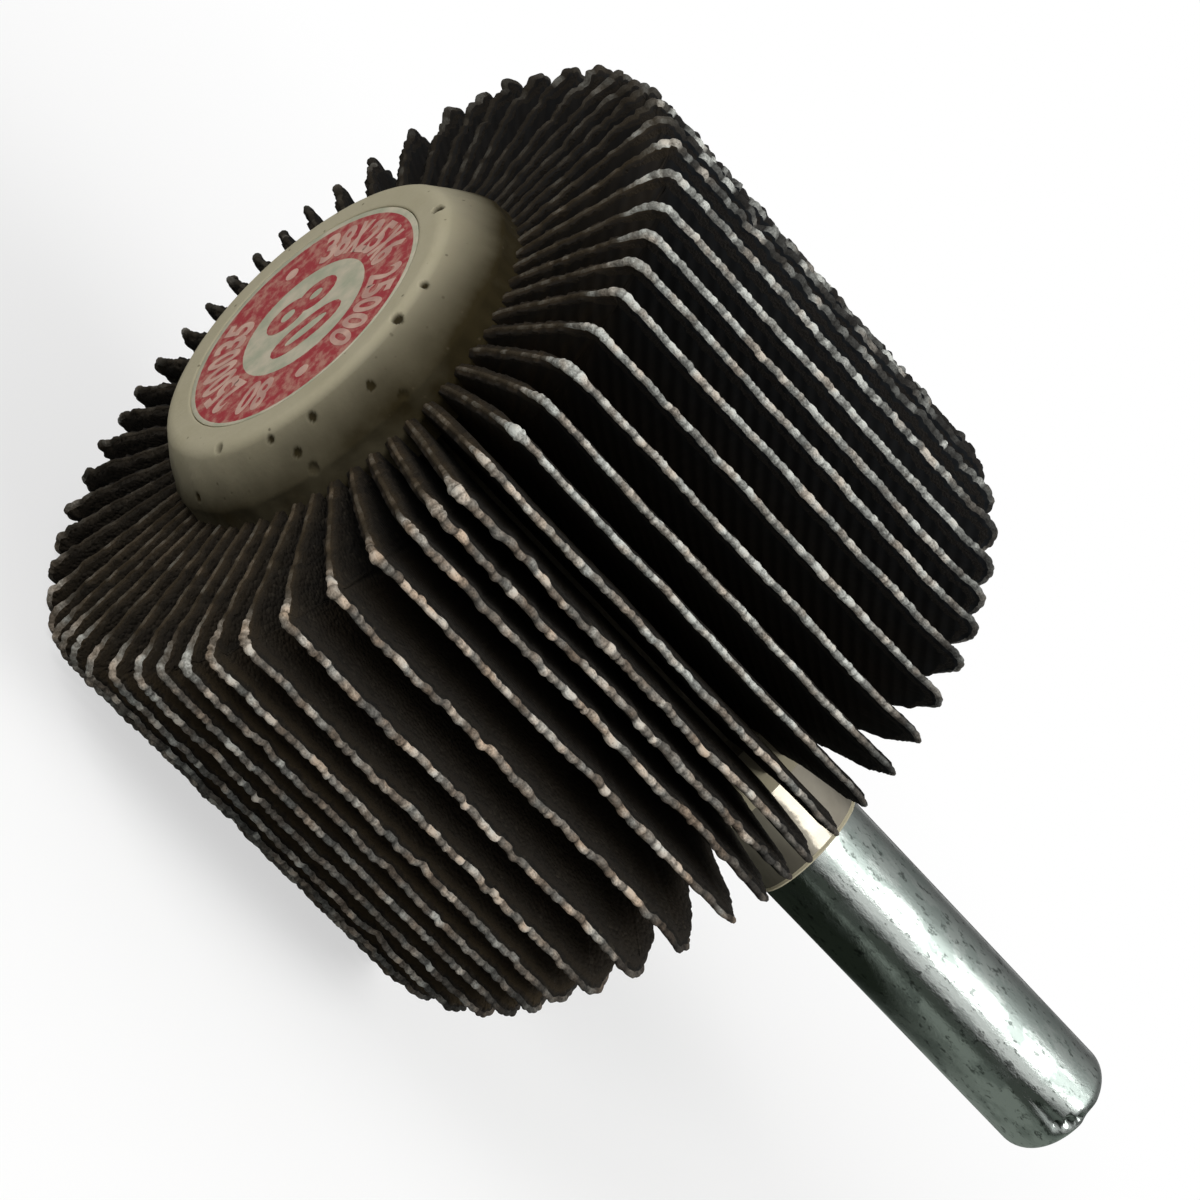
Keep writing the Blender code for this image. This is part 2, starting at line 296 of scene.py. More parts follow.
def label_paper(name, low, high):
    """Uncoated label paper, handled: two close shades of one colour, in soft smudges."""
    finish, add = new_finish(name)
    place = add("ShaderNodeTexCoord").outputs["Object"]
    smudges = add("ShaderNodeTexNoise", {"Vector": place, "Scale": 1 / (1.1 * MM), "Detail": 4.0})
    shade = add("ShaderNodeMapRange", {"Value": smudges.outputs["Fac"], "From Min": 0.35, "From Max": 0.65})
    colour = add("ShaderNodeMix", {0: shade, 6: paint(low), 7: paint(high)}, data_type="RGBA")
    fibres = add("ShaderNodeTexNoise", {"Vector": place, "Scale": 1 / (0.12 * MM), "Detail": 2.0})
    relief = add("ShaderNodeBump", {"Height": fibres.outputs["Fac"], "Strength": 0.3,
                                    "Distance": 0.03 * MM})
    shader = add("ShaderNodeBsdfPrincipled", {"Base Color": colour.outputs[2], "Roughness": 0.62,
                                              "Normal": relief})
    add("ShaderNodeOutputMaterial", {"Surface": shader})
    return finish


def red_ink():
    """Red ink printed on the label paper, worn: the paper shows through in small patches."""
    finish, add = new_finish("printed_red_ink")
    place = add("ShaderNodeTexCoord").outputs["Object"]
    wear = add("ShaderNodeTexNoise", {"Vector": place, "Scale": 1 / (0.55 * MM), "Detail": 4.0,
                                      "Roughness": 0.65})
    gone = add("ShaderNodeMapRange", {"Value": wear.outputs["Fac"], "From Min": 0.44, "From Max": 0.64,
                                      "To Max": 0.85})
    colour = add("ShaderNodeMix", {0: gone, 6: paint("#aa363d"), 7: paint("#c4907f")}, data_type="RGBA")
    shader = add("ShaderNodeBsdfPrincipled", {"Base Color": colour.outputs[2], "Roughness": 0.55})
    add("ShaderNodeOutputMaterial", {"Surface": shader})
    return finish


# Shapes

def add_piece(name, node, points, faces, finishes, face_finish, values=None, sharp=40):
    """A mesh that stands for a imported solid, with its finishes and any number at each point."""
    mesh = bpy.data.meshes.new(name)
    mesh.from_pydata([tuple(point) for point in points], [], faces)
    for finish in finishes:
        mesh.materials.append(finish)
    mesh.polygons.foreach_set("material_index", np.asarray(face_finish, np.int32))
    for label, numbers in (values or {}).items():
        held = mesh.attributes.new(label, "FLOAT", "POINT").data
        held.foreach_set("value", np.asarray(numbers, np.float32))
    mesh.shade_smooth()
    mesh.set_sharp_from_angle(angle=math.radians(sharp))
    piece = bpy.data.objects.new(name, mesh)
    bpy.context.scene.collection.objects.link(piece)
    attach(piece, "root")
    if node:
        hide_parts(node)


def turned(profile, sides):
    """A profile of (along, out) places turned round the axis: points and their rows, faces and their rows."""
    angles = np.arange(sides) * 2 * math.pi / sides
    points, rows, rings, faces, bands = [], [], [], [], []
    for row, (along, out) in enumerate(profile):
        turn = angles if out > 0 else np.zeros(1)
        rings.append(len(rows) + (np.arange(sides) if out > 0 else np.zeros(sides, int)))
        points.append(in_place(along, out, turn))
        rows += [row] * len(turn)
    for band, (first, second) in enumerate(zip(rings, rings[1:])):
        for side in range(sides):
            beside = (side + 1) % sides
            corners = [first[side], second[side], second[beside], first[beside]]
            faces.append([int(corner) for corner in dict.fromkeys(corners)])
            bands.append(band)
    return np.concatenate(points), np.array(rows), faces, np.array(bands)


def arc(along, out, radius, start, end, steps):
    """Places along an arc, with angles in degrees from the way out towards the rear."""
    turns = np.radians(np.linspace(start, end, steps + 1))
    return [(along + radius * math.sin(turn), out + radius * math.cos(turn)) for turn in turns]


def ripple(draw, waves):
    """A wandering line: the sum of waves given as (length, size), with drawn lengths and phases."""
    parts = [(2 * math.pi / (length * draw.uniform(0.8, 1.25)), draw.uniform(0, 2 * math.pi), size)
             for length, size in waves]
    return lambda run: sum(size * np.sin(rate * run + phase) for rate, phase, size in parts)


def swell(run, middle, width):
    """A smooth rise and fall round one place along an edge."""
    return np.exp(-((run - middle) / width) ** 2)


# How the strips differ, by the angle of their tips in degrees from the top: the cut edges are palest on the
# right side, the side in view, and darkest on the far side, partly from wear and partly as painted light and
# painted shade
TURNS = (-180, -60, -20, -2, 14, 62, 72, 106, 120, 150, 180)
TRAITS = {
    # of the cut cloth, by angle also painted light and shade, and more of it behind the front corner
    "bareness": (0.15, 0.04, 0.12, 0.35, 1.0, 0.92, 0.72, 0.72, 0.6, 0.65, 0.3),
    "hidden_wear": (0.2, 0.6, 0.1, 0.0, 0.0, 0.0, 0.0, 0.0, 0.0, 0.0, 0.2),
    # of the bareness, from yarn to yarn
    "patchiness": (0.5, 1.0, 1.0, 0.9, 0.35, 0.2, 0.45, 0.45, 0.45, 0.5, 0.5),
    "raggedness": (0.9, 1.5, 1.4, 1.1, 0.45, 0.45, 1.1, 1.1, 0.7, 0.7, 0.8),
    "brownness": (0.4, 0.1, 0.0, 0.0, 0.1, 0.2, 0.6, 0.65, 0.5, 0.3, 0.4),
    # on the sides deep between two strips, heavier underneath as painted fill light, and near their front
    # edges
    "dust": (0.5, 0.3, 0.2, 0.2, 0.25, 0.4, 0.35, 0.5, 1.0, 1.0, 0.7),
    "front_dust": (0.0, 0.0, 0.0, 0.2, 0.6, 0.9, 0.1, 0.1, 0.1, 0.2, 0.1),
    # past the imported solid, in millimetres, and the same of the rear ends
    "reach": (0.15, 0.5, 0.08, 0.0, 0.0, 0.0, 0.0, 0.0, 0.0, 0.0, 0.12),
    "rear_reach": (0.2, 0.4, 0.1, 0.05, 0.3, 0.6, 0.5, 0.2, 0.0, 0.0, 0.1),
}

# Zones on a strip, between the places where a change starts and where it is full
NOTCHED_ZONE = (12.0, 17.0)     # out from the axis
TIP_ZONE = (16.8, 18.4)         # the same
REAR_ZONE = (STRIP_REAR - 4.0, STRIP_REAR - 1.2)    # along, as the next ones
REAR_REACH_ZONE = (STRIP_REAR - 2.5, STRIP_REAR - 0.5)
HIDDEN_ZONE = (STRIP_FRONT + 1.5, STRIP_FRONT + 4.5)
FRONT_ZONE = (STRIP_FRONT, STRIP_FRONT + 1.5)
HUB_ZONE = (0.0, 2.0)           # along the edge, from its start inside the hub

# Waves along a cut edge, as (length, size)
NOTCH_WAVES = ((2.3, 0.05), (1.1, 0.04), (0.6, 0.03))
WEAR_WAVES = ((5.0, 0.02), (1.9, 0.015))
WANDER_WAVES = ((11.0, 0.05), (4.3, 0.02))
SHOULDER_WAVES = ((0.9, 0.04), (0.43, 0.035), (2.1, 0.04))
BARE_WAVES = ((6.0, 0.12), (2.7, 0.12))

NARROWEST_YARN = 0.32
WORN_PLACES = (1, 20)           # along the edge from the front corner, where dents and tufts may fall

# A strip's section, from its root up the grit side, over the cut edge and down its back to the root:
# across the thickness, depth below the free edge, share of the way to the root, how far it follows the
# frayed edge, and the finish of the face that follows
GRIT_SIDE, CUT_CLOTH, BACK_SIDE = 0, 1, 2
SECTION = ((-HALF_CLOTH, 0.6, 1.0, 0.0, GRIT_SIDE), (-HALF_CLOTH, 0.6, 0.62, 0.0, GRIT_SIDE),
           (-HALF_CLOTH, 0.6, 0.27, 0.0, GRIT_SIDE), (-HALF_CLOTH, 0.8, 0.0, 0.2, CUT_CLOTH),
           (-0.32, 0.45, 0.0, 0.7, GRIT_SIDE), (-0.19, 0.25, 0.0, 1.0, CUT_CLOTH),
           (-0.17, 0.1, 0.0, 1.0, CUT_CLOTH), (-0.05, 0.0, 0.0, 1.0, CUT_CLOTH),
           (0.12, 0.0, 0.0, 1.0, CUT_CLOTH), (0.24, 0.1, 0.0, 1.0, CUT_CLOTH),
           (0.28, 0.25, 0.0, 1.0, BACK_SIDE), (0.34, 0.45, 0.0, 0.7, CUT_CLOTH),
           (HALF_CLOTH, 0.8, 0.0, 0.2, BACK_SIDE), (HALF_CLOTH, 0.6, 0.27, 0.0, BACK_SIDE),
           (HALF_CLOTH, 0.6, 0.62, 0.0, BACK_SIDE), (HALF_CLOTH, 0.6, 1.0, 0.0, BACK_SIDE))
BEAD_ROWS = range(5, 11)        # the bead of cut yarns along the edge
SHOULDER_ROWS = (3, 4, 11, 12)  # the chipped coats beside it, a little thinner at the tip
BEAD_MIDDLE = 0.05              # across the thickness


def strip_angles(name):
    """The angles of a packed strip's middle plane at its root and at its tip."""
    points = np.array([point.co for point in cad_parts[name].data.vertices])
    across, up = points[:, 0], points[:, 2] - AXIS_HEIGHT
    middle = math.atan2(across.mean(), up.mean())
    angle = (np.arctan2(across, up) - middle + math.pi) % (2 * math.pi) - math.pi
    out = np.hypot(across, up) / MM
    root, tip = angle[out < out.min() + 0.3], angle[out > out.max() - 0.3]
    return middle + (root.min() + root.max()) / 2, middle + (tip.min() + tip.max()) / 2


def strip_surface(root, tip):
    """A function from (along, out, across the thickness) on one strip to world points."""
    lean = tip - root

    def angle_at(out):
        share = np.clip((out - BEND_START) / (TIP_RADIUS - BEND_START), 0, None)
        return root + lean * share ** BEND_POWER * TIP_RADIUS / out

    def to_world(along, out, across):
        angle = angle_at(out)
        turn = (angle_at(out + 0.01) - angle) / 0.01
        side = np.cos(angle) - out * np.sin(angle) * turn
        rise = -np.sin(angle) - out * np.cos(angle) * turn
        size = np.hypot(side, rise)
        place_x = out * np.sin(angle) + across * side / size
        place_z = out * np.cos(angle) + across * rise / size
        return np.stack([place_x * MM, FACE + along * MM, AXIS_HEIGHT + place_z * MM], axis=-1)

    return to_world


def corner_stations(along, out, radius, start, end, steps):
    """Stations round a corner of a strip, with angles from the rear towards the way out."""
    return [(along + radius * math.cos(turn), out + radius * math.sin(turn), math.cos(turn), math.sin(turn))
            for turn in np.linspace(start, end, steps, endpoint=False)]


def strip_outline(front_corner, rear_corner):
    """Stations round a strip's free edge, from its front to its rear: along, out and the way outwards."""
    front = np.arange(STRIP_ROOT, TIP_RADIUS - front_corner, 0.21)
    tip = np.arange(STRIP_FRONT + front_corner, STRIP_REAR - rear_corner, 0.115)
    rear = np.arange(TIP_RADIUS - rear_corner, STRIP_ROOT, -0.24)
    stations = [(STRIP_FRONT, out, -1.0, 0.0) for out in front]
    stations += corner_stations(STRIP_FRONT + front_corner, TIP_RADIUS - front_corner, front_corner,
                                math.pi, math.pi / 2, 12)
    stations += [(along, TIP_RADIUS, 0.0, 1.0) for along in tip]
    stations += corner_stations(STRIP_REAR - rear_corner, TIP_RADIUS - rear_corner, rear_corner,
                                math.pi / 2, 0, 18)
    stations += [(STRIP_REAR, out, 1.0, 0.0) for out in rear]
    return np.array(stations).T


def yarn_ends(draw, run, longest):
    """How near each place along a cut edge is to a yarn's middle, and three numbers drawn for the yarn."""
    ends = [0.0]
    while ends[-1] <= run[-1]:
        ends.append(ends[-1] + draw.uniform(NARROWEST_YARN, longest))
    luck = np.array([[draw.random() for _ in range(3)] for _ in ends])
    ends = np.array(ends)
    yarn = np.searchsorted(ends, run, side="right") - 1
    within = (run - ends[yarn]) / (ends[yarn + 1] - ends[yarn])
    return np.sin(math.pi * within) ** 0.8, luck[yarn].T


def frayed_edge(draw, look):
    """A strip's free edge with its corners and notches, place by place, and what is drawn for its yarns."""
    sharper = min(1.0, 3 * look.reach)
    along, out, out_along, out_out = strip_outline(draw.uniform(0.65, 1.1) - 0.3 * sharper,
                                                   draw.uniform(0.9, 1.6) - 0.5 * sharper)
    run = np.concatenate([[0.0], np.cumsum(np.hypot(np.diff(along), np.diff(out)))])
    corner = run[np.argmax(out > TIP_RADIUS - 0.4)]
    notched = ripple(draw, NOTCH_WAVES)(run) * look.raggedness * (0.5 + 0.5 * sharper) + 0.04
    past = look.reach + (look.rear_reach - look.reach) * ramp(along, *REAR_REACH_ZONE)
    notched = (np.clip(notched, 0, None) - past) * ramp(out, *NOTCHED_ZONE)
    along = along - out_along * notched
    out = out - out_out * notched
    crown, (height, side, tone) = yarn_ends(draw, run, 0.45 + 0.4 * look.raggedness)
    return SimpleNamespace(along=along, out=out, out_along=out_along, out_out=out_out, run=run, corner=corner,
                           at_tip=ramp(out, *TIP_ZONE), at_rear=ramp(along, *REAR_ZONE), crown=crown,
                           height=height, side=side, tone=tone)


def wear_depth(draw, look, edge):
    """How far in the cut edge is worn: between yarns, at the short ones, and in up to two dents."""
    between = (0.04 + 0.05 * min(1.0, look.raggedness)) * (1 - edge.crown)
    worn = (between + 0.12 * look.raggedness * edge.height) * (0.35 + 0.65 * edge.at_tip) - 0.06
    worn += ripple(draw, WEAR_WAVES)(edge.run) * look.raggedness
    for _ in range(draw.randint(0, 2)):
        place = edge.corner + draw.uniform(*WORN_PLACES)
        dent = draw.uniform(0.12, 0.3) * look.raggedness
        worn += dent * swell(edge.run, place, draw.uniform(0.25, 0.6))
    return np.clip(worn, -0.1, None) * ramp(edge.run, *HUB_ZONE)


def edge_wander(draw, look, edge):
    """How far the cut edge strays to one side or the other, in long waves and yarn by yarn."""
    wander = ripple(draw, WANDER_WAVES)(edge.run) * edge.at_tip * (0.35 + 0.65 * look.raggedness)
    return wander + 0.15 * look.raggedness * (edge.side - 0.5) * edge.crown * edge.at_tip


def loose_tufts(draw, look, edge):
    """Where loose fibres make the cut edge wider and paler: at the front corner and in up to four places."""
    tufts = (0.15 + 0.75 * draw.random() ** 2) * look.bareness ** 0.5
    tufts = tufts * swell(edge.run, edge.corner + 0.2, draw.uniform(0.5, 1.0)) * (0.6 + 0.6 * edge.height)
    for _ in range(draw.randint(1, 4)):
        place = edge.corner + draw.uniform(*WORN_PLACES)
        tuft = draw.uniform(0.1, 0.35) * look.bareness * look.raggedness
        tufts += tuft * swell(edge.run, place, draw.uniform(0.4, 0.9))
    return tufts


def bead_width(look, edge, tufts):
    """The width of the bead of cut yarns, as a share of its width in the section."""
    wider = 0.19 + (0.06 + 0.1 * min(1.0, look.raggedness)) * edge.crown - 0.12 * edge.at_rear
    by_yarn = 0.18 * look.raggedness * (edge.height - 0.5)
    return 0.4 + 0.1 * look.raggedness + wider * edge.at_tip + by_yarn + tufts


def strip_points(draw, edge, worn, wander, width, to_world):
    """World points on a strip: one section at each place along its edge."""
    share = edge.run / edge.run[-1]
    root_along = STRIP_FRONT + ROOT_INSET + (STRIP_REAR - STRIP_FRONT - 2 * ROOT_INSET) * share
    points = np.zeros((len(edge.run), len(SECTION), 3))
    for row, (across, depth, inwards, follow, _) in enumerate(SECTION):
        below = depth * (0.3 + 0.7 * edge.at_tip) + worn * follow
        aside = across + wander * (1 - inwards) ** 2
        if row in SHOULDER_ROWS:
            below += ripple(draw, SHOULDER_WAVES)(edge.run)
            aside = aside * (1 - 0.3 * edge.at_tip)
        if row in BEAD_ROWS:
            aside = BEAD_MIDDLE + (across - BEAD_MIDDLE) * width + wander
        along = edge.along - edge.out_along * below
        out = edge.out - edge.out_out * below
        along += inwards * (root_along - along)
        out += inwards * (STRIP_ROOT - out)
        points[:, row] = to_world(along, out, aside)
    return points


def strip_faces(stations):
    """Faces from each section of a strip to the next and over its two ends, and the finish of each."""
    corner = np.arange(stations * len(SECTION)).reshape(stations, len(SECTION))
    first, beside = corner[:-1], corner[1:]
    faces = np.stack([first, beside, np.roll(beside, -1, axis=1), np.roll(first, -1, axis=1)], axis=-1)
    ends = [corner[0].tolist(), corner[-1][::-1].tolist()]
    kinds = [kind for *_, kind in SECTION] * (stations - 1) + [GRIT_SIDE] * len(ends)
    return faces.reshape(-1, 4).tolist() + ends, kinds


def bare_and_lit_cloth(draw, look, edge, tufts):
    """How bare the cut cloth is at each point, worn yarn by yarn and most at the tip, with painted light and
    shade by angle and between yarns.
    """
    stretches = 1 + ripple(draw, BARE_WAVES)(edge.run)
    by_yarn = (1 - look.patchiness) * (0.7 + 0.45 * edge.tone) + look.patchiness * 4.2 * edge.tone ** 4
    worn_and_lit = look.bareness + look.hidden_wear * ramp(edge.along, *HIDDEN_ZONE)
    bare = edge.at_tip * worn_and_lit * by_yarn * (1 - 0.8 * edge.at_rear) * stretches
    bare += (1 - edge.at_tip) * 0.2 * edge.tone ** 2 * (0.3 + 0.7 * min(1.0, 2 * look.bareness))
    # painted shade between the yarns' crowns
    shaded = (0.4 + 0.3 * min(1.0, look.raggedness)) * (1 - edge.crown)
    bare = (bare + 0.55 * tufts) * (1 - shaded)
    return bare[:, None] * np.isin(np.arange(len(SECTION)), BEAD_ROWS)


def settled_dust_and_fill(look, edge):
    """How dusty each point is: on the sides between two strips, and by another measure near the front;
    heavier underneath as painted fill light.
    """
    inwards = np.array([part[2] for part in SECTION])
    shoulder = np.isin(np.arange(len(SECTION)), SHOULDER_ROWS)
    # more on the underside's sides and shoulders: painted fill light as well as dust
    on_sides = np.where(inwards > 0, look.dust, 0) + shoulder * 0.5 * look.dust ** 2
    on_front = np.where(inwards > 0, look.front_dust, np.where(shoulder, 0.3, 0.85))
    front = (1 - ramp(edge.along, *FRONT_ZONE)) * min(1.0, 0.3 + 1.5 * look.bareness)
    front, tone = front[:, None], edge.tone[:, None]
    return on_sides * (1 - front) + on_front * front * (0.5 + 0.5 * tone)


def make_strip(name, finishes):
    """One strip of abrasive cloth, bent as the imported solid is, with its cut edge frayed yarn by yarn."""
    draw = random.Random(name)
    root, tip = strip_angles(name)
    turn = (math.degrees(tip) + 180) % 360 - 180
    look = SimpleNamespace(**{trait: float(np.interp(turn, TURNS, row)) for trait, row in TRAITS.items()})
    edge = frayed_edge(draw, look)
    worn = wear_depth(draw, look, edge)
    wander = edge_wander(draw, look, edge)
    tufts = loose_tufts(draw, look, edge)
    width = bead_width(look, edge, tufts)
    points = strip_points(draw, edge, worn, wander, width, strip_surface(root, tip))
    faces, kinds = strip_faces(len(edge.run))
    bare = bare_and_lit_cloth(draw, look, edge, tufts)
    # the bare values hold painted light and painted shade as well as wear
    values = {"bare": bare.reshape(-1), "warm": np.full(bare.size, look.brownness),
              "dust": settled_dust_and_fill(look, edge).reshape(-1)}
    add_piece("cloth_" + name, name, points.reshape(-1, 3), faces, finishes, kinds, values,
              sharp=55)


# Air pits in the boss: along, out, angle in degrees, radius and depth
PITS = ((0.02, 8.2, -6, 0.34, 0.34), (0.3, 8.65, 35, 0.24, 0.18), (0.2, 8.55, 49.5, 0.32, 0.25),
        (1.2, 9.3, 70, 0.24, 0.17), (2.3, 10.1, 65.5, 0.26, 0.18), (0.65, 8.95, 89, 0.24, 0.16),
        (0.5, 8.85, 104.5, 0.22, 0.14), (1.45, 9.5, 98.5, 0.24, 0.16), (2.3, 10.1, 96.5, 0.3, 0.2),
        (0.12, 8.43, 127, 0.28, 0.16), (1.9, 9.8, 143, 0.24, 0.15), (0.9, 9.1, -52, 0.28, 0.18),
        (2.0, 9.87, -95, 0.26, 0.16), (0.3, 8.65, -128, 0.22, 0.13), (1.4, 9.45, -160, 0.28, 0.18))

# Unevenness of the boss's side and foot: waves round it, size, twist along the axis and phase
SIDE_WAVES = ((5, 0.03, 1.2, 0.4), (11, 0.025, -2.1, 2.2), (23, 0.015, 1.7, 5.1), (41, 0.01, -3.1, 3.3))
FOOT_WAVES = ((len(STRIPS), 0.02, 0, math.pi / 2), (19, 0.04, 0, 1.0), (31, 0.03, 0, 0))
SIDE_ZONE = (0.15, 1.15)        # along, where each of the two grows to its full
FOOT_ZONE = (2.4, 3.1)

HUB_SIDES = 600
FACE_EDGE = HUB_RADIUS - 2.2    # where the boss's flat face ends
FACE_ROUND = 1.0
ROUND_STOPS = -37               # degrees off square to the axis, where the rounding runs on into the side
FOOT = 2.5                      # where the boss's side ends
FLARE_END = 3.7                 # where the flare at its foot ends
FLANGE_ROUND = 0.6
SIDE_BULGE = 0.06
DARKEST_SIDE = math.radians(72)     # where the boss's side is darkest: dirt and painted shade
FILL_LIT_SIDE = math.radians(145)     # where that darkening eases a little: painted fill light from below
PIT_SHADE = 4.5                  # how fast the painted shade in a pit deepens with its depth


def hub_profile():
    """Places down the casting from the label's seat to inside the pin, and the film's and its bead's rows."""
    seat = LABEL_RADIUS + 0.04
    front_lip, rear_lip = STRIP_FRONT + LIP_DEPTH, STRIP_REAR - LIP_DEPTH
    places = [(LABEL_THICKNESS, 0.0), (LABEL_THICKNESS, seat - 0.5), (LABEL_THICKNESS, seat),
              (0.06, seat + 0.01), (0.02, seat + 0.04), (0.0, seat + 0.1)]
    places += [(0.0, out) for out in np.linspace(seat + 0.2, FACE_EDGE - 0.08, 8)]
    places += arc(FACE_ROUND, FACE_EDGE, FACE_ROUND, -90, ROUND_STOPS, 12)
    shoulder_along, shoulder_out = places[-1]
    for share in np.linspace(0, 1, 22)[1:]:
        straight = shoulder_out + (HUB_RADIUS - shoulder_out) * share
        places.append((shoulder_along + (FOOT - shoulder_along) * share,
                       straight + SIDE_BULGE * math.sin(math.pi * share)))
    places += [(along, HUB_RADIUS + 0.12 * (along - FOOT) ** 2)
               for along in np.linspace(FOOT + 0.12, FLARE_END, 10)]
    places += [(FLARE_END + 0.2, HUB_RADIUS + 0.1), (FLARE_END + 0.5, HUB_RADIUS), (front_lip, HUB_RADIUS),
               (front_lip + 0.3, CORE_RADIUS), (rear_lip - 0.3, CORE_RADIUS), (rear_lip, HUB_RADIUS),
               (STRIP_REAR - 0.3, HUB_RADIUS + 0.2), (STRIP_REAR, HUB_RADIUS + 0.2)]
    places += arc(HUB_REAR - FLANGE_ROUND, HUB_RADIUS - FLANGE_ROUND, FLANGE_ROUND, 0, 90, 8)
    places += [(HUB_REAR, HUB_RADIUS - 1.4), (HUB_REAR - 0.05, 6.5), (HUB_REAR + 0.05, 5.0),
               (HUB_REAR + 0.25, 4.2), (HUB_REAR + 0.6, 3.6), (HUB_REAR + 1.1, PIN_RADIUS + 0.1)]
    film_row = len(places) - 1
    places += [(HUB_REAR + 1.6, PIN_RADIUS + FILM), (FILM_END - 3.0, PIN_RADIUS + FILM),
               (FILM_END - 0.25, PIN_RADIUS + FILM)]
    bead_row = len(places) - 1
    places += [(FILM_END - 0.12, PIN_RADIUS + FILM + 0.05), (FILM_END, PIN_RADIUS + FILM * 0.6),
               (FILM_END + 0.04, PIN_RADIUS - 0.1), (PIN_START - 0.05, PIN_RADIUS - 0.1),
               (PIN_START - 0.05, 0.0)]
    return places, film_row, bead_row


def uneven(waves, angle, along):
    """The sum of waves round the casting, given as (number, size, twist along the axis, phase)."""
    return sum(size * np.sin(count * angle + phase + twist * along) for count, size, twist, phase in waves)


def pit_depths(along, across, up):
    """How deep each point of the casting lies in an air pit."""
    pitted = np.zeros(len(along))
    for pit_along, pit_out, degrees, radius, depth in PITS:
        spot = math.radians(degrees)
        gap = np.sqrt((along - pit_along) ** 2 + (across - pit_out * math.sin(spot)) ** 2
                      + (up - pit_out * math.cos(spot)) ** 2)
        pitted = np.maximum(pitted, depth * np.sqrt(np.clip(1 - (gap / radius) ** 2, 0, None)))
    return pitted


def boss_soil_and_shade(along, angle):
    """How dark the casting is made: more and more towards the boss's foot and most on one side, from dirt and
    painted shade, a little less underneath as painted fill light.
    """
    handled = np.cos(angle - DARKEST_SIDE)
    soil_and_shade = np.clip((along - 0.05) / 2.35, 0.0001, 1) ** (0.22 + 0.75 * (1 - handled)) * ramp(along, 0, 0.4)
    soil_and_shade *= 1 - 0.08 * np.clip(np.cos(angle - FILL_LIT_SIDE), 0, 1)
    rear_darkening = 0.5 * (along < FILM_END - 3.2)
    return np.where(along < HUB_REAR / 2, soil_and_shade, rear_darkening)


def make_hub(finishes):
    """The casting: a boss with a seat for the label, lips round the strips' roots, and a film up the pin."""
    profile, film_row, bead_row = hub_profile()
    points, rows, faces, bands = turned(profile, HUB_SIDES)
    along = (points[:, 1] - FACE) / MM
    across, up = points[:, 0] / MM, (points[:, 2] - AXIS_HEIGHT) / MM
    out = np.hypot(across, up)
    angle = np.arctan2(across, up)
    steps = np.gradient(np.array(profile), axis=0)
    steps /= np.maximum(np.hypot(steps[:, 0], steps[:, 1]), 1e-6)[:, None]
    face_along, face_out = -steps[rows, 1], steps[rows, 0]

    on_side = ramp(along, *SIDE_ZONE) * (along < FLARE_END + 0.1) * (out > LABEL_RADIUS + 0.5)
    at_foot = ramp(along, *FOOT_ZONE) * (along < FLARE_END + 0.6) * (out > CORE_RADIUS + 0.2)
    pitted = pit_depths(along, across, up)
    push = uneven(SIDE_WAVES, angle, along) * on_side + uneven(FOOT_WAVES, angle, along) * at_foot
    push -= pitted * (along < FLARE_END + 0.3)
    at_film_end = (rows > film_row + 1) & (rows < bead_row + 4)
    slant = at_film_end * FILM_SLANT * np.cos(angle - FILM_SIDE)
    points = in_place(along + push * face_along - slant, out + push * face_out, angle)

    # darker towards the boss's foot and in the air pits: dirt and painted shade
    grime = np.clip(boss_soil_and_shade(along, angle) + pitted * PIT_SHADE, 0, 1)
    kinds = np.where((bands >= film_row) & (bands < bead_row), 1, 0)
    add_piece("hub_casting", "hub", points, faces, finishes, kinds, {"grime": grime}, sharp=50)


# The label's print
LABEL_SUNK = 0.02               # how far the label lies below the boss's face
PRINT_TURN = math.radians(-6)
PRINT_ASIDE = 0.15              # the print is a little off the middle of the disc
RING_INNER, RING_OUTER = 3.74, 6.7
RING_MIDDLE = 5.2
INK = 0.03
GRIT_NUMBER = (("8", 2.1, 4.35, -1.3), ("0", 2.0, 4.35, 1.4))   # figure, width, height, aside
RING_FIGURES = (("38x25x6 25000", -66), ("80 2500035", 124))    # words, angle of the first figure
FIGURE_STEP = 11.3
FIGURE_WIDTH, FIGURE_HEIGHT = 0.95, 2.15
RING_DOTS = (-93, 96)
DOT_WIDTH = 0.8


def make_label(finishes):
    """The printed disc: bare paper with a ring of red ink."""
    flat = (0.0, RING_INNER / 2, RING_INNER, (RING_INNER + RING_OUTER) / 2, RING_OUTER)
    profile = [(LABEL_SUNK, out) for out in flat] + [(LABEL_SUNK, LABEL_RADIUS - 0.05), (0.05, LABEL_RADIUS)]
    profile += [(LABEL_THICKNESS + 0.01, LABEL_RADIUS), (LABEL_THICKNESS + 0.01, 0.0)]
    points, rows, faces, bands = turned(profile, 360)
    points[rows < len(flat), 0] += PRINT_ASIDE * math.cos(PRINT_TURN) * MM
    in_ring = (bands == 2) | (bands == 3)
    kinds = np.where(in_ring, 1, 0)
    add_piece("printed_label", "label", points, faces, finishes, kinds)


def figure_shape(figure):
    """A figure in the standard font, filled and thick, as points in a box one unit wide, high and deep."""
    curve = bpy.data.curves.new("figure", "FONT")
    curve.body = figure
    curve.extrude = 0.5
    curve.offset = 0.03
    curve.resolution_u = 5
    drawn = bpy.data.objects.new("figure", curve)
    bpy.context.scene.collection.objects.link(drawn)
    bpy.context.view_layer.update()
    mesh = bpy.data.meshes.new_from_object(drawn.evaluated_get(bpy.context.evaluated_depsgraph_get()))
    points = np.array([point.co for point in mesh.vertices])
    faces = [list(face.vertices) for face in mesh.polygons]
    bpy.data.objects.remove(drawn)
    bpy.data.curves.remove(curve)
    bpy.data.meshes.remove(mesh)
    low, high = points.min(axis=0), points.max(axis=0)
    return (points - (low + high) / 2) / (high - low), faces


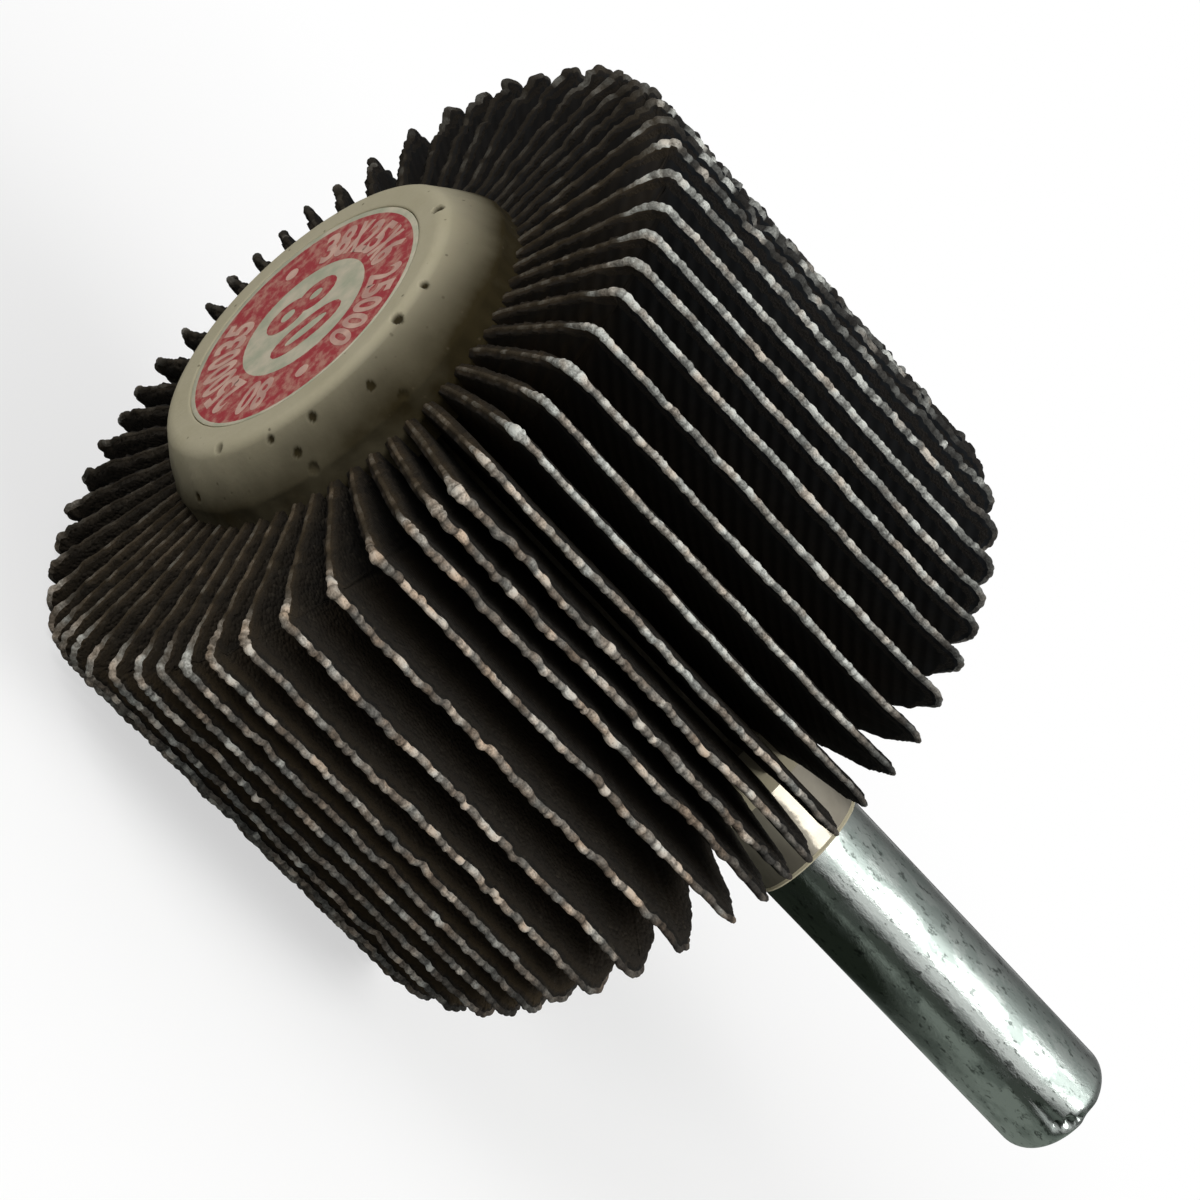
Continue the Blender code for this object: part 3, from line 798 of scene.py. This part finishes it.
def print_figures(name, marks, finish):
    """Thin layers of ink on the label from (figure, width, height, side, rise, clockwise turn) marks."""
    points, faces, total = [], [], 0
    for figure, width, height, side, rise, turn in marks:
        shape, shape_faces = figure_shape(figure)
        wide, high = shape[:, 0] * width, shape[:, 1] * height
        flat_side = PRINT_ASIDE + side + wide * math.cos(turn) + high * math.sin(turn)
        flat_rise = rise - wide * math.sin(turn) + high * math.cos(turn)
        along = LABEL_SUNK - shape[:, 2] * INK
        angle = np.arctan2(flat_side, flat_rise) + PRINT_TURN
        points.append(in_place(along, np.hypot(flat_side, flat_rise), angle))
        faces += [[total + corner for corner in face] for face in shape_faces]
        total += len(shape)
    add_piece(name, None, np.concatenate(points), faces, [finish], [0] * len(faces))


def ring_mark(figure, width, height, degrees):
    """One mark in the ring, with its top outwards."""
    turn = math.radians(degrees)
    return figure, width, height, RING_MIDDLE * math.sin(turn), RING_MIDDLE * math.cos(turn), turn


def ring_marks():
    """The ring's figures, and a plain dot where each half begins."""
    marks = [ring_mark(figure, FIGURE_WIDTH, FIGURE_HEIGHT, first + number * FIGURE_STEP)
             for words, first in RING_FIGURES for number, figure in enumerate(words) if figure != " "]
    return marks + [ring_mark(".", DOT_WIDTH, DOT_WIDTH, degrees) for degrees in RING_DOTS]


# The pin
PIN_SIDES = 128
PIN_ROUND = 1.3                 # the rounding of its free end
SCUFFED_SIDE = math.radians(30)
# Nicks in the rounding of its end: before the end, out, angle in degrees and size
NICKS = ((1.35, 3.15, 83, 0.3), (1.0, 3.1, 74, 0.34), (0.7, 2.95, 63, 0.26), (0.3, 2.75, 50, 0.36))
NICK_DEPTH = 0.3


def make_pin(finish):
    """The plated pin, scuffed on one side: its free end is rounded, with a small centre mark and nicks,
    darkened as painted shade.
    """
    profile = [(PIN_START, 0.0), (PIN_START, PIN_RADIUS - 0.4), (PIN_START + 0.4, PIN_RADIUS)]
    profile += [(along, PIN_RADIUS) for along in np.linspace(PIN_START + 3, PIN_END - PIN_ROUND - 0.3, 24)]
    profile += arc(PIN_END - PIN_ROUND, PIN_RADIUS - PIN_ROUND, PIN_ROUND, 0, 90, 14)
    profile += [(PIN_END, 1.2), (PIN_END - 0.02, 0.7), (PIN_END - 0.12, 0.5), (PIN_END - 0.35, 0.0)]
    points, _, faces, _ = turned(profile, PIN_SIDES)
    nick_dent_and_shade = np.zeros(len(points))
    for before_end, out, degrees, size in NICKS:
        nick = in_place(PIN_END - before_end, out, math.radians(degrees))
        gap = np.linalg.norm(points - nick, axis=1) / MM
        nick_dent_and_shade = np.maximum(nick_dent_and_shade, swell(gap, 0, size))
    angle = np.arctan2(points[:, 0], points[:, 2] - AXIS_HEIGHT)
    deeper = NICK_DEPTH * MM * nick_dent_and_shade
    points -= np.stack([deeper * np.sin(angle), deeper, deeper * np.cos(angle)], axis=-1)
    scuffed = 0.7 * ramp(np.cos(angle - SCUFFED_SIDE), 0.7, 0.95)
    add_piece("plated_pin", "shank", points, faces, [finish], [0] * len(faces),
              {"scuffed": scuffed, "nick_dent_and_shade": nick_dent_and_shade}, sharp=35)


# The studio

WHITE = (1.0, 1.0, 1.0, 1.0)

# The photo's camera: from the label's middle in millimetres, the way it looks, and its roll in degrees
CAMERA_PLACE = (216.553, -88.027, 78.888)
CAMERA_LOOKS = (-0.849983, 0.428818, -0.306013)
CAMERA_ROLL = 55.189
CAMERA_LENS = 157.11


def white_backdrop(add):
    """1 for the rays that show the background itself, from the camera and through glass."""
    path = add("ShaderNodeLightPath")
    return add("ShaderNodeMath", {0: path.outputs["Is Camera Ray"], 1: path.outputs["Is Transmission Ray"]},
               operation="MAXIMUM")


def add_sheet(name, side, length, height, finish):
    """A level rectangle of the studio, between two places in X and two in Y, in metres."""
    corners = [(side[0], length[0]), (side[1], length[0]), (side[1], length[1]), (side[0], length[1])]
    mesh = bpy.data.meshes.new(name)
    mesh.from_pydata([(x, y, height) for x, y in corners], [], [(0, 1, 2, 3)])
    mesh.materials.append(finish)
    sheet = bpy.data.objects.new(name, mesh)
    bpy.context.scene.collection.objects.link(sheet)
    return sheet


def make_floor():
    """A wide pale floor: it takes the wheel's soft shadow nearby and is plain white further off."""
    finish, add = new_finish("painted_studio_floor")
    backdrop = white_backdrop(add)
    place = add("ShaderNodeTexCoord").outputs["Object"]
    far = add("ShaderNodeVectorMath", {0: place}, operation="LENGTH")
    fade = add("ShaderNodeMapRange", {"Value": far.outputs["Value"], "From Min": 0.02, "From Max": 0.1,
                                      "To Min": 0.6}, interpolation_type="SMOOTHSTEP")
    white = add("ShaderNodeMath", {0: fade, 1: backdrop}, operation="MULTIPLY")
    colour = add("ShaderNodeMix", {0: backdrop, 6: paint("#838380"), 7: paint("#fbfbfa")}, data_type="RGBA")
    matt = add("ShaderNodeBsdfDiffuse", {"Color": colour.outputs[2]})
    plain = add("ShaderNodeEmission", {"Color": WHITE})
    both = add("ShaderNodeMixShader", {0: white, 1: matt, 2: plain})
    add("ShaderNodeOutputMaterial", {"Surface": both})
    add_sheet("studio_floor", (-6, 6), (-6, 6), 0.0, finish)


def make_dark_card():
    """A dark card under the pin that only its reflection shows: it gives the plated steel its dark side."""
    finish, add = new_finish("dark_card")
    place = add("ShaderNodeTexCoord").outputs["Object"]
    parts = add("ShaderNodeSeparateXYZ", {"Vector": place})
    paler = add("ShaderNodeMapRange", {"Value": parts.outputs["Y"], "From Min": 0.027, "From Max": 0.037})
    near = add("ShaderNodeMapRange", {"Value": parts.outputs["X"], "From Min": 0.035, "From Max": 0.055,
                                      "To Min": 1.0, "To Max": 0.25})
    share = add("ShaderNodeMath", {0: paler, 1: near}, operation="MULTIPLY")
    colour = add("ShaderNodeMix", {0: share, 6: paint("#20251f"), 7: paint("#7e857f")}, data_type="RGBA")
    matt = add("ShaderNodeEmission", {"Color": colour.outputs[2]})
    add("ShaderNodeOutputMaterial", {"Surface": matt})
    card = add_sheet("dark_card", (-0.05, 0.6), (-0.02, 0.4), 0.0004, finish)
    card.visible_camera = False
    card.visible_diffuse = False
    card.visible_transmission = False
    card.visible_shadow = False


def make_world():
    """Soft light from all round at a low level, a white background, and in the metal a bright right side."""
    world = bpy.data.worlds.new("studio")
    bpy.context.scene.world = world
    world.use_nodes = True
    world.node_tree.nodes.clear()
    add = partial(add_node, world.node_tree)
    backdrop = white_backdrop(add)
    path = add("ShaderNodeLightPath")
    way = add("ShaderNodeTexCoord").outputs["Generated"]
    parts = add("ShaderNodeSeparateXYZ", {"Vector": way})
    wall = add("ShaderNodeMapRange", {"Value": parts.outputs["X"], "From Min": 0.2, "From Max": 0.7},
               interpolation_type="SMOOTHSTEP")
    low = add("ShaderNodeMapRange", {"Value": parts.outputs["Z"], "From Max": 0.25, "To Min": 0.5,
                                     "To Max": 0.18})
    above = add("ShaderNodeMapRange", {"Value": parts.outputs["Z"], "From Min": 0.55, "From Max": 0.95,
                                       "To Max": 0.6})
    left = add("ShaderNodeMath", {0: low, 1: above}, operation="ADD")
    right = add("ShaderNodeMapRange", {"Value": parts.outputs["Z"], "From Min": 0.02, "From Max": 0.3,
                                       "To Min": 0.12, "To Max": 0.95})
    mirrored = add("ShaderNodeMix", {0: wall, 2: left, 3: right})
    soft = add("ShaderNodeMix", {0: path.outputs["Is Glossy Ray"], 2: 0.23, 3: mirrored})
    level = add("ShaderNodeMix", {0: backdrop, 2: soft, 3: 1.0})
    light = add("ShaderNodeBackground", {"Color": WHITE, "Strength": level})
    add("ShaderNodeOutputWorld", {"Surface": light})


def add_lamp(name, direction, distance, width, height, level):
    """A soft lamp that lights a surface facing it at the given level, where 1 shows a colour as written."""
    lamp = bpy.data.lights.new(name, "AREA")
    lamp.shape = "RECTANGLE"
    lamp.size = width
    lamp.size_y = height
    lamp.energy = level * math.pi ** 2 * distance ** 2
    lit = bpy.data.objects.new(name, lamp)
    aim = Vector((0.0, 0.0, AXIS_HEIGHT))
    way = Vector(direction).normalized()
    lit.location = aim + way * distance
    lit.rotation_mode = "QUATERNION"
    lit.rotation_quaternion = way.to_track_quat("Z", "Y")
    lit.visible_camera = False
    bpy.context.scene.collection.objects.link(lit)


def make_camera():
    """The photo's camera: a long lens close to the wheel, rolled so that the pin points down to the right."""
    camera_data = bpy.data.cameras.new("photo_camera")
    camera_data.lens = CAMERA_LENS
    camera_data.sensor_width = 36.0
    camera_data.clip_start = 0.01
    camera = bpy.data.objects.new("photo_camera", camera_data)
    camera.location = Vector((0.0, FACE, AXIS_HEIGHT)) + Vector(CAMERA_PLACE) * MM
    camera.rotation_mode = "QUATERNION"
    roll = Matrix.Rotation(math.radians(CAMERA_ROLL), 3, "Z").to_quaternion()
    camera.rotation_quaternion = Vector(CAMERA_LOOKS).to_track_quat("-Z", "Y") @ roll
    bpy.context.scene.collection.objects.link(camera)
    bpy.context.scene.camera = camera


# The wheel

strip_finishes = [bonded_grit(), cut_cotton(), coated_back()]
for strip in STRIPS:
    make_strip(strip, strip_finishes)
make_hub([cast_resin(), resin_film()])
ink = red_ink()
make_label([label_paper("uncoated_label_paper", "#b3b59c", "#d3c9b2"), ink])
number_marks = [(figure, wide, high, aside, 0.0, 0.0) for figure, wide, high, aside in GRIT_NUMBER]
print_figures("grit_number", number_marks, ink)
stained_paper = label_paper("label_paper_stained_by_ink", "#c2978a", "#dcb8a6")
print_figures("ring_figures", ring_marks(), stained_paper)
make_pin(plated_steel())

make_floor()
make_dark_card()
make_world()
add_lamp("overhead_softbox", (0.56, 0.42, 0.71), 0.42, 0.45, 0.2, 0.8)
add_lamp("front_softbox", (0.3, -0.8, 0.52), 0.45, 0.3, 0.3, 0.54)
make_camera()
bpy.context.scene.view_settings.view_transform = "Standard"
